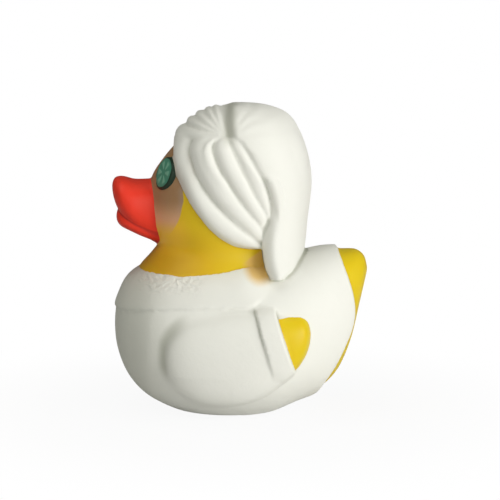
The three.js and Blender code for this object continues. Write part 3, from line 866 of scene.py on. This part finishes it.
# %% Places on the slices
def slice_plane(points):
    """Coordinates of points in the plane of the slice on their own side, in shares of its radius."""
    facing = np.array(SLICE_FACING)
    up = np.array((0, 0, 1)) - facing[2] * facing
    up /= np.linalg.norm(up)
    side = np.cross(up, facing)
    middle = np.array((SLICE["across"], SLICE["along"], SLICE["level"])) / MM
    left = points * np.where(points[:, :1] < 0, -1, 1) ** np.array((1, 0, 0))
    return (left - middle) @ side / (SLICE["radius"] / MM), (left - middle) @ up / (SLICE["radius"] / MM)


slice_side, slice_up = slice_plane(places)
store("slice_side", slice_side)
store("slice_up", slice_up)
print("the slices face", [round(value, 2) for value in SLICE_FACING])

# %% Depth of the folds
VALLEY_ROUNDS = 70


def valley_depth(mesh, rounds):
    """How far each vertex lies under a smoothed copy of the skin, in millimetres."""
    count = len(mesh.vertices)
    start = np.empty(count * 3)
    mesh.vertices.foreach_get("co", start)
    start = start.reshape(-1, 3)
    normals = np.empty(count * 3)
    mesh.vertices.foreach_get("normal", normals)
    edges = np.empty(len(mesh.edges) * 2, dtype=int)
    mesh.edges.foreach_get("vertices", edges)
    one, two = edges.reshape(-1, 2).T
    neighbours = np.bincount(one, minlength=count) + np.bincount(two, minlength=count)
    moved = start.copy()
    for _ in range(rounds):
        total = np.zeros_like(moved)
        for axis in range(3):
            total[:, axis] = np.bincount(one, moved[two, axis], count)
            total[:, axis] += np.bincount(two, moved[one, axis], count)
        moved = (moved + total / neighbours[:, None]) / 2
    return np.einsum("ij,ij->i", moved - start, normals.reshape(-1, 3)) / MM


valleys = valley_depth(duck.data, VALLEY_ROUNDS)
store("valley", valleys)
print("deepest valley and highest ridge in mm:", valleys.max().round(2), valleys.min().round(2))

# %% [markdown]
# ## Shader building blocks
# The paint could be several materials, but the coats fade into each other, so it is one shader. It starts
# from bare vinyl and lays each coat over it, in the order of the real work: mask, white cloth paint, beak,
# slices. Each block below adds one node and returns its output, so the coats read like sums.

# %% Node helpers
material = bpy.data.materials.new("painted_vinyl")
material.use_nodes = True
tree = material.node_tree
shader = tree.nodes["Principled BSDF"]
coordinates = tree.nodes.new("ShaderNodeTexCoord").outputs["Object"]


def put(socket, value):
    """A link where the value is another node's output, and else a constant on the socket."""
    if isinstance(value, bpy.types.NodeSocket):
        tree.links.new(value, socket)
    else:
        socket.default_value = value


def math_of(operation, first, second=0.0):
    """One math node."""
    node = tree.nodes.new("ShaderNodeMath")
    node.operation = operation
    put(node.inputs[0], first)
    put(node.inputs[1], second)
    return node.outputs[0]


def field(name):
    """Number stored on the vertices under this name."""
    node = tree.nodes.new("ShaderNodeAttribute")
    node.attribute_name = name
    return node.outputs["Fac"]


def rise(value, low, high, start=0.0, end=1.0):
    """Smooth step of a value between two limits, from start to end."""
    node = tree.nodes.new("ShaderNodeMapRange")
    node.interpolation_type = "SMOOTHSTEP"
    for name, constant in (("From Min", low), ("From Max", high), ("To Min", start), ("To Max", end)):
        node.inputs[name].default_value = constant
    put(node.inputs["Value"], value)
    return node.outputs["Result"]


print("shader and its coordinates ready")


# %% Patterns and blends
def grain(size, detail=2.0, stretch=(1, 1, 1), roughness=0.5):
    """Noise of 0 to 1 with features of this size in metres."""
    place = tree.nodes.new("ShaderNodeMapping")
    place.inputs["Scale"].default_value = stretch
    put(place.inputs["Vector"], coordinates)
    node = tree.nodes.new("ShaderNodeTexNoise")
    node.inputs["Scale"].default_value = 1 / size
    node.inputs["Detail"].default_value = detail
    node.inputs["Roughness"].default_value = roughness
    put(node.inputs["Vector"], place.outputs[0])
    return node.outputs["Fac"]


def blend(base, coat, share):
    """One colour or number laid over another, with a share of 0 to 1."""
    node = tree.nodes.new("ShaderNodeMix")
    node.data_type = "RGBA" if isinstance(coat, tuple) or getattr(coat, "type", "") == "RGBA" else "FLOAT"
    put(node.inputs["Factor"], share)
    put(node.inputs["A"], base)
    put(node.inputs["B"], coat)
    return node.outputs["Result"]


def times(*values):
    product = values[0]
    for value in values[1:]:
        product = math_of("MULTIPLY", product, value)
    return product


def plus(*values):
    total = values[0]
    for value in values[1:]:
        total = math_of("ADD", total, value)
    return total


def inverse(value):
    return math_of("SUBTRACT", 1.0, value)


def apart(value, middle):
    """How far a value is from a middle, to either side."""
    return math_of("ABSOLUTE", math_of("SUBTRACT", value, middle))


def radius_of(first, second):
    """Distance from the origin of two coordinates."""
    return math_of("SQRT", plus(times(first, first), times(second, second)))


def centred(pattern):
    """The pattern moved down to lie evenly about 0."""
    return plus(pattern, -0.5)


print("node helpers ready:", len(tree.nodes), "nodes so far")

# %% [markdown]
# ## Borders of the coats
# The border of each coat wanders by a fraction of a millimetre, as a hand-held brush does along a stencil.
# A sharp limit of the stored fields would look printed, so a little noise is added to them first.

# %% Where each coat lies
wander = plus(times(grain(4 * MM), 0.5), times(grain(1.1 * MM), 0.24), -0.37)
is_cloth = rise(plus(field("cloth"), wander), -0.07, 0.07)
is_beak = rise(plus(field("beak"), times(wander, 0.5)), -0.07, 0.07)
is_slice = rise(plus(field("slice"), times(wander, 0.3)), -0.06, 0.06)
is_vinyl = times(inverse(is_cloth), inverse(is_beak), inverse(is_slice))
split = tree.nodes.new("ShaderNodeSeparateXYZ")
put(split.inputs[0], coordinates)
x, y, z = split.outputs[:3]
in_valley = rise(field("valley"), 0.06, 0.85)
on_ridge = rise(times(field("valley"), -1.0), 0.1, 0.6)
print("coats laid out with", len(tree.nodes), "nodes so far")

# %% [markdown]
# ## Bare vinyl
# The vinyl is dyed right through. One flat yellow would look like card, so painted shade blends it towards
# ochre near the beak and in the creases, and painted bounce light from the beak and the collar blends it
# towards a lighter orange on the shaded jaw.

# %% Bare vinyl
YELLOW = (0.78, 0.57, 0.012, 1)
OCHRE = (0.68, 0.3, 0.016, 1)
JAW_BOUNCE_LIGHT = (1.0, 0.58, 0.04, 1)
# Painted shade: ochre near the beak and, more faintly, in the creases, with a random mottle near the beak
towards_beak = times(rise(y, 8 * MM, -24 * MM), rise(z, 38 * MM, 46 * MM),
                     rise(z, 60 * MM, 48 * MM, 0.45, 1.15))
mottle = times(centred(grain(9 * MM, 4)), 0.25)
warm_shade_and_mottle = plus(times(towards_beak, 0.55), times(in_valley, 0.25), times(mottle, towards_beak))
vinyl = blend(YELLOW, OCHRE, warm_shade_and_mottle)
# Painted bounce light from the beak and the collar: a lighter orange on the shaded jaw
jaw_bounce_share = times(rise(y, -13 * MM, -20 * MM), rise(z, 47 * MM, 54 * MM), rise(z, 63 * MM, 57 * MM), 0.85)
vinyl = blend(vinyl, JAW_BOUNCE_LIGHT, jaw_bounce_share)
print("bare vinyl from", YELLOW[:3], "to", OCHRE[:3])

# %% [markdown]
# ## Clay mask
# The mask is a thin brown film, greyer along its edge and tan where it fades out over the jaw. It could be a
# shell of its own, but its thickness doesn't show. So it is a coat, and its share falls off with the level.

# %% Clay mask
MASK_BROWN = (0.33, 0.165, 0.11, 1)
MASK_GREY = (0.36, 0.27, 0.25, 1)
MASK_TAN = (0.78, 0.41, 0.27, 1)
mask_distance = plus(field("mask"), times(wander, 0.8))
is_mask = times(rise(mask_distance, -0.15, 0.35), field("mask_fade"), 0.86)
at_mask_edge = times(rise(mask_distance, 2.6, 0.3), 0.55)
streaks = grain(2.2 * MM, 3, (1, 1, 0.35))
mask_paint = blend(blend(MASK_BROWN, MASK_GREY, at_mask_edge), MASK_GREY, times(streaks, 0.3))
mask_paint = blend(mask_paint, MASK_TAN, rise(z, 66.5 * MM, 58.5 * MM))
colour = blend(vinyl, mask_paint, is_mask)
print("clay mask from", MASK_BROWN[:3], "to", MASK_TAN[:3])

# %% [markdown]
# ## White cloth paint
# Robe and towel have the same white paint, which painted shade makes greyer and a little greener in the
# valleys.
# An ambient occlusion node could find the folds, but it slows every render. The stored depth does it, and
# painted shade also lies on three more places: the breast, the crescent in front of the sleeve, and the
# parting of the towel.

# %% White cloth paint
WHITE = (0.87, 0.87, 0.815, 1)
SHADE = (0.36, 0.37, 0.29, 1)
PARTING_ALONG = -2.9 * MM

cloud = centred(grain(14 * MM, 3))
# Painted shade in the folds, with a faint cloudy tone over all the cloth
fold_shade_and_cloud = plus(times(in_valley, 0.8), times(cloud, 0.1))
cloth_colour = blend(WHITE, SHADE, fold_shade_and_cloud)
in_crescent = times(rise(apart(field("sleeve"), -0.3), 2.2, 0.2), rise(y, -14 * MM, -20 * MM),
                    rise(z, 12 * MM, 19 * MM))
on_breast = times(rise(y, -18 * MM, -32 * MM), rise(z, 60 * MM, 46 * MM))
in_parting = times(rise(apart(plus(y, times(cloud, 3 * MM)), PARTING_ALONG), 3 * MM, 0.4 * MM),
                   rise(z, 81 * MM, 86 * MM))
shaded = plus(times(in_crescent, 0.5), times(on_breast, 0.36), times(in_parting, 0.55))
cloth_colour = blend(cloth_colour, SHADE, shaded)
print("white paint from", WHITE[:3], "to", SHADE[:3], "in the folds")

# %% [markdown]
# ## Wear and paint mist
# White paint is thin on ridges beside its border, stained along the hairline and rubbed at the sole, and a
# soft patch of ochre mist lies under the hanging end. All this could be painted on an image, but distances
# from a line or a place, with a little noise, need no picture.

# %% Wear and paint mist
OVERSPRAY = (0.78, 0.5, 0.13, 1)
HAIRLINE_STAIN = (0.42, 0.31, 0.22, 1)
SOLE_WEAR = (0.72, 0.6, 0.26, 1)
PATCH = {"along": 6.4 * MM, "level": 47.2 * MM, "radius": 5.2 * MM}

thin_paint = times(rise(plus(grain(0.9 * MM, 2), times(on_ridge, 0.12)), 0.76, 0.84),
                   rise(field("cloth"), 1.2, 0.2))
cloth_colour = blend(cloth_colour, OCHRE, times(thin_paint, 0.7))
patch = math_of("DIVIDE", radius_of(apart(y, PATCH["along"]), apart(z, PATCH["level"])), PATCH["radius"])
under_neck = rise(plus(z, times(y, -0.6)), 47.6 * MM, 46.4 * MM)
is_patch = times(rise(plus(patch, times(cloud, 0.35)), 1.2, 0.6), rise(field("towel"), 0.1, -0.3), under_neck)
at_hairline = times(rise(field("cloth"), 2.2, 0.3), rise(y, -11 * MM, -17 * MM), rise(z, 58 * MM, 64 * MM))
cloth_colour = blend(cloth_colour, HAIRLINE_STAIN, times(at_hairline, plus(0.35, times(cloud, 0.8))))
sole_wear = times(rise(plus(z, times(cloud, 1.2 * MM)), 1.3 * MM, 0.2 * MM), 0.5)
cloth_colour = blend(cloth_colour, SOLE_WEAR, sole_wear)
colour = blend(colour, cloth_colour, is_cloth)
colour = blend(colour, OVERSPRAY, times(is_patch, 0.92))
print("paint mist under the hanging end, over", 2 * PATCH["radius"] / MM, "mm")

# %% [markdown]
# ## Beak paint
# The beak is sprayed red, and painted shade darkens the line between its halves. A deeper groove would shade
# that line by itself, but here the distances to both halves tell where the painted shade runs.

# %% Beak and mouth
RED = (0.93, 0.042, 0.02, 1)
MOUTH_SHADE_RED = (0.5, 0.022, 0.022, 1)
LIGHT_RED = (0.86, 0.09, 0.04, 1)

# Painted shade under the upper half, along the mouth line
is_mouth = rise(apart(field("lower_beak"), -0.15), 0.75, 0.1)
beak_colour = blend(RED, MOUTH_SHADE_RED, times(is_mouth, 0.75))
beak_colour = blend(beak_colour, LIGHT_RED, times(grain(7 * MM, 3), 0.25))
colour = blend(colour, beak_colour, is_beak)
print("beak in", RED[:3])

# %% [markdown]
# ## Cucumber paint
# A slice shows pale flesh, six seed chambers like petals, and a dark rind. Each chamber could be a small
# form, but at five millimetres an angle and a radius in the plane of the slice are enough to draw them.

# %% Cucumber
RIND = (0.014, 0.035, 0.02, 1)
FLESH = (0.07, 0.27, 0.18, 1)
PALE = (0.22, 0.5, 0.36, 1)
SEED_PAIRS = 3.0

side, up = field("slice_side"), field("slice_up")
from_middle = radius_of(side, up)
turn = times(math_of("ARCTAN2", up, side), SEED_PAIRS)
petals = math_of("ABSOLUTE", math_of("COSINE", turn))
seed_ring = times(rise(from_middle, 0.16, 0.3), rise(from_middle, 0.8, 0.62))
is_seed = times(rise(plus(petals, times(centred(grain(1.2 * MM)), 0.3)), 0.6, 0.9), seed_ring)
flesh = blend(FLESH, PALE, plus(times(is_seed, 0.8), times(grain(1.6 * MM, 3), 0.18)))
is_rind = rise(plus(from_middle, times(centred(grain(1.5 * MM)), 0.1)), 0.84, 0.92)
colour = blend(colour, blend(flesh, RIND, is_rind), is_slice)
put(shader.inputs["Base Color"], colour)
print("the colour takes", len(tree.nodes), "nodes")

# %% [markdown]
# ## Surface of the coats
# Bare vinyl has a satin skin with a faint orange peel. The cloth was sculpted with a towelling grain, and
# its paint is matt. The collar is finely wrinkled towards the breast, and the towel has faint creases that
# run out from the gather. Ring marks from turning run round the sole. All this is finer than the mesh, so it
# is a bump and not a shape.

# %% Gloss and softness
BARE_ROUGHNESS = 0.42

is_clay = times(is_mask, is_vinyl)
roughness = BARE_ROUGHNESS
for coat, coat_roughness in ((is_clay, 0.66), (is_cloth, 0.76), (is_beak, 0.5), (is_slice, 0.4)):
    roughness = blend(roughness, coat_roughness, coat)
put(shader.inputs["Roughness"], plus(roughness, times(centred(grain(5 * MM, 4)), 0.14)))
put(shader.inputs["Specular IOR Level"], blend(0.25, 0.4, is_cloth))
put(shader.inputs["Subsurface Weight"], times(is_vinyl, 0.14))
put(shader.inputs["Subsurface Radius"], (1.0, 0.42, 0.1))
put(shader.inputs["Subsurface Scale"], 2.5 * MM)
print("roughness of bare vinyl:", BARE_ROUGHNESS)

# %% Relief of the cloth
# Heights are in millimetres, as the bump's distance is one
towelling = plus(times(grain(0.55 * MM, 2), 0.03), times(grain(1.6 * MM, 3, roughness=0.6), 0.05),
                 times(grain(5 * MM, 2), 0.12))
on_collar = times(rise(z, 37 * MM, 42 * MM), rise(y, -6 * MM, -18 * MM), rise(y, -34 * MM, -27 * MM),
                  rise(field("towel"), 0.0, -0.6))
wrinkles = times(apart(grain(3.6 * MM, 2, (1, 1, 1.6), 0.5), 0.5), on_collar, -1.05)
gather_y, gather_z = turban_point(*GATHER)
bearing = math_of("ARCTAN2", plus(z, -gather_z), plus(y, -gather_y))
away = radius_of(plus(y, -gather_y), plus(z, -gather_z))
fan = math_of("SINE", plus(times(bearing, 17.0), times(grain(9 * MM, 2), 5.0)))
fan_share = times(rise(away, 3 * MM, 8 * MM), rise(away, 24 * MM, 10 * MM), rise(y, -3 * MM, 2 * MM),
                  rise(field("towel"), -0.2, 0.4))
creasing = times(fan, fan_share, 0.07)
print("creases fan out from", [round(value / MM, 1) for value in (gather_y, gather_z)], "mm")

# %% Relief of the whole casting
RING_PITCH = 1.3 * MM
PAINT_THICKNESS = 0.05

from_vent = radius_of(x, plus(y, -body_point(VENT_ALONG, 0)[0]))
rings = times(math_of("SINE", times(from_vent, 2 * math.pi / RING_PITCH)), rise(z, 2.4 * MM, 0.6 * MM), 0.05)
cloth_relief = plus(towelling, wrinkles, creasing, rings, PAINT_THICKNESS)
peel = times(grain(0.7 * MM, 1), 0.012)
seed_relief = plus(times(is_seed, 0.12), times(is_rind, 0.1), times(grain(0.8 * MM, 2), 0.04))
clay_relief = times(grain(1.2 * MM, 3), 0.05)
height = plus(times(is_vinyl, peel), times(is_clay, clay_relief), times(is_cloth, cloth_relief),
              times(is_slice, seed_relief), times(is_beak, grain(1.4 * MM, 2), 0.02))
bump = tree.nodes.new("ShaderNodeBump")
bump.inputs["Distance"].default_value = 1 * MM
put(bump.inputs["Height"], height)
put(shader.inputs["Normal"], bump.outputs[0])
print("the whole shader takes", len(tree.nodes), "nodes")

# %% [markdown]
# ## Paint goes on the casting
# The booleans leave an empty material slot behind, so the slots are cleared before the paint goes on. The
# skin is shaded smooth, except where two faces meet as sharply as at the sole. The casting then rides on the
# frame's only body and takes the place of its node.

# %% Paint the casting
SHARP_FROM = math.radians(50)

duck.data.materials.clear()
duck.data.materials.append(material)
for poly in duck.data.polygons:
    poly.use_smooth = True
    poly.material_index = 0
duck.data.set_sharp_from_angle(angle=SHARP_FROM)
print("painted:", duck.name, "with", material.name)

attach(duck, "root")
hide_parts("duck")

# %% [markdown]
# ## Camera, floor and light
# The photograph looks at the left side from 8 degrees above the horizon, from far off. The floor fades to the
# white of the background as the camera sees it, and still takes a faint shadow near the duck. A plain white
# plane would need stronger lamps to look as white, and they would bleach the towel.

# %% Camera
CAMERA_ELEVATION = math.radians(8)
CAMERA_DISTANCE = 0.6
FRAME_WIDTH = 153.8 * MM
AIM = Vector((0, 3.08 * MM, 48.9 * MM))
camera_data = bpy.data.cameras.new("camera")
camera_data.lens = camera_data.sensor_width * CAMERA_DISTANCE / FRAME_WIDTH
camera = bpy.data.objects.new("camera", camera_data)
back = Vector((math.cos(CAMERA_ELEVATION), 0, math.sin(CAMERA_ELEVATION)))
camera.location = AIM + back * CAMERA_DISTANCE
camera.rotation_mode = "QUATERNION"
camera.rotation_quaternion = (-back).to_track_quat("-Z", "Y")
camera_data.clip_start = 0.01
bpy.context.scene.collection.objects.link(camera)
bpy.context.scene.camera = camera
print("lens in mm:", round(camera_data.lens, 1))

# %% Floor
FLOOR_HALF = 3.0
FLOOR_DROP = 0.02 * MM
FLOOR_GREY = (0.8, 0.8, 0.8, 1)
WHITE_FROM, WHITE_TO = 0.03, 0.12
WHITE_NEAR, WHITE_FAR = 0.93, 1.0


def shown_as(tree, lit, seen, share, output):
    """Let the camera see one shader in this share, and everything else only the lit one."""
    mixed = tree.nodes.new("ShaderNodeMixShader")
    tree.links.new(share, mixed.inputs["Fac"])
    tree.links.new(lit.outputs[0], mixed.inputs[1])
    tree.links.new(seen.outputs[0], mixed.inputs[2])
    tree.links.new(mixed.outputs[0], tree.nodes[output].inputs["Surface"])


bm = bmesh.new()
bmesh.ops.create_grid(bm, x_segments=1, y_segments=1, size=FLOOR_HALF)
bmesh.ops.translate(bm, vec=(0, 0, -FLOOR_DROP), verts=bm.verts)
floor = as_object(bm, "floor")
floor_material = bpy.data.materials.new("pale_floor")
floor_material.use_nodes = True
floor.data.materials.append(floor_material)
tree = floor_material.node_tree
grey = tree.nodes["Principled BSDF"]
put(grey.inputs["Base Color"], FLOOR_GREY)
put(grey.inputs["Roughness"], 1.0)
white = tree.nodes.new("ShaderNodeEmission")
put(white.inputs["Strength"], 1.0)
spread = tree.nodes.new("ShaderNodeVectorMath")
spread.operation = "LENGTH"
put(spread.inputs[0], tree.nodes.new("ShaderNodeTexCoord").outputs["Object"])
whiteness = rise(spread.outputs["Value"], WHITE_FROM, WHITE_TO, WHITE_NEAR, WHITE_FAR)
to_camera = tree.nodes.new("ShaderNodeLightPath").outputs["Is Camera Ray"]
shown_as(tree, grey, white, times(to_camera, whiteness), "Material Output")
print("floor of", 2 * FLOOR_HALF, "m")

# %% Background
SKY_COLOUR = (0.98, 1.0, 0.92, 1)
SKY_STRENGTH = 0.1

world = bpy.data.worlds.new("studio")
bpy.context.scene.world = world
world.use_nodes = True
tree = world.node_tree
sky = tree.nodes["Background"]
put(sky.inputs["Color"], SKY_COLOUR)
put(sky.inputs["Strength"], SKY_STRENGTH)
seen = tree.nodes.new("ShaderNodeBackground")
put(seen.inputs["Color"], (1, 1, 1, 1))
shown_as(tree, sky, seen, tree.nodes.new("ShaderNodeLightPath").outputs["Is Camera Ray"], "World Output")
print("the background lights with strength", SKY_STRENGTH)

# %% [markdown]
# ## Lamps
# In the photograph the light comes from the right, low and soft, as from a window, and the breast lies in
# shade. One large lamp stands for the window. A sun would draw hard edges. The room, the ceiling and the far
# wall send back the rest. The powers are so low that the white paint doesn't clip.

# %% Lamps
# Place, size, watts and colour
LAMPS = {
    "window": ((0.45, 0.6, 0.17), 0.5, 4.6, (1.0, 0.99, 0.97)),
    "room": ((0.75, 0.1, 0.3), 0.6, 1.3, (1.0, 1.0, 0.96)),
    "ceiling": ((0.05, -0.1, 0.85), 0.4, 1.1, (1.0, 0.98, 0.93)),
    "far_wall": ((0.3, -0.45, 0.7), 0.5, 1.2, (0.99, 1.0, 0.92)),
}
LIT_POINT = Vector((0, 0, 0.05))


def lamp(name, place, size, watts, colour):
    """Square lamp that faces the duck's middle."""
    data = bpy.data.lights.new(name, "AREA")
    data.size = size
    data.energy = watts
    data.color = colour
    made = bpy.data.objects.new(name, data)
    made.location = place
    made.rotation_mode = "QUATERNION"
    made.rotation_quaternion = (Vector(place) - LIT_POINT).to_track_quat("Z", "Y")
    bpy.context.scene.collection.objects.link(made)


for name, settings in LAMPS.items():
    lamp(name, *settings)
print("lamps:", ", ".join(LAMPS))

# %% [markdown]
# ## Finish
# Colours are shown as they are, without a film look.

# %% Finish
bpy.context.scene.view_settings.view_transform = "Standard"
